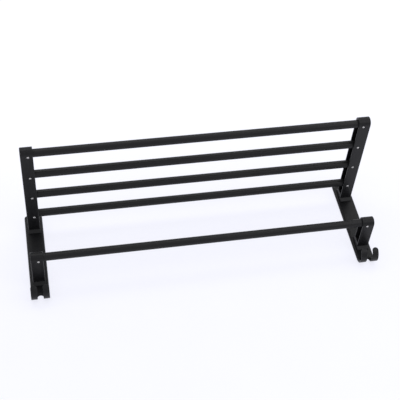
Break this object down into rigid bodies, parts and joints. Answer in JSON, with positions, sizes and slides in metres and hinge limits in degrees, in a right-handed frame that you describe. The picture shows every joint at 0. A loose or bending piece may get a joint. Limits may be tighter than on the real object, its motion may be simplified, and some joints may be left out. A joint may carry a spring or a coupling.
{
  "type": "wall towel rack",
  "caption": "Wall-mounted black aluminium towel rack with a railed shelf, a lower towel bar and double hooks under each wall plate.",
  "frame": {"origin": "centre of the overall box on the plane of the wall plates' back faces, so the rack lies on its back with the wall as its floor", "axes": "+X along the rails, +Y up the wall, +Z out of the wall"},
  "size_m": [0.6, 0.187, 0.2065],
  "materials": {
    "plate_coat": "satin black powder coat",
    "arm_coat": "satin black powder coat",
    "rail_coat": "satin black powder coat",
    "screw_steel": "bright nickel-plated steel",
    "hidden_screw_steel": "zinc-plated steel"
  },
  "bodies": {
    "root": {"bar_arm_left": "arm_coat", "bar_arm_right": "arm_coat", "bar_arm_screw_left_lower": "hidden_screw_steel", "bar_arm_screw_left_upper": "hidden_screw_steel", "bar_arm_screw_right_lower": "hidden_screw_steel", "bar_arm_screw_right_upper": "hidden_screw_steel", "bar_screw_left": "screw_steel", "bar_screw_right": "screw_steel", "rail_screw_left_1": "screw_steel", "rail_screw_left_2": "screw_steel", "rail_screw_left_3": "screw_steel", "rail_screw_left_4": "screw_steel", "rail_screw_right_1": "screw_steel", "rail_screw_right_2": "screw_steel", "rail_screw_right_3": "screw_steel", "rail_screw_right_4": "screw_steel", "shelf_arm_left": "arm_coat", "shelf_arm_right": "arm_coat", "shelf_arm_screw_left_lower": "hidden_screw_steel", "shelf_arm_screw_left_upper": "hidden_screw_steel", "shelf_arm_screw_right_lower": "hidden_screw_steel", "shelf_arm_screw_right_upper": "hidden_screw_steel", "shelf_rail_1": "rail_coat", "shelf_rail_2": "rail_coat", "shelf_rail_3": "rail_coat", "shelf_rail_4": "rail_coat", "towel_bar": "rail_coat", "wall_plate_left": "plate_coat", "wall_plate_right": "plate_coat"}
  },
  "joints": []
}
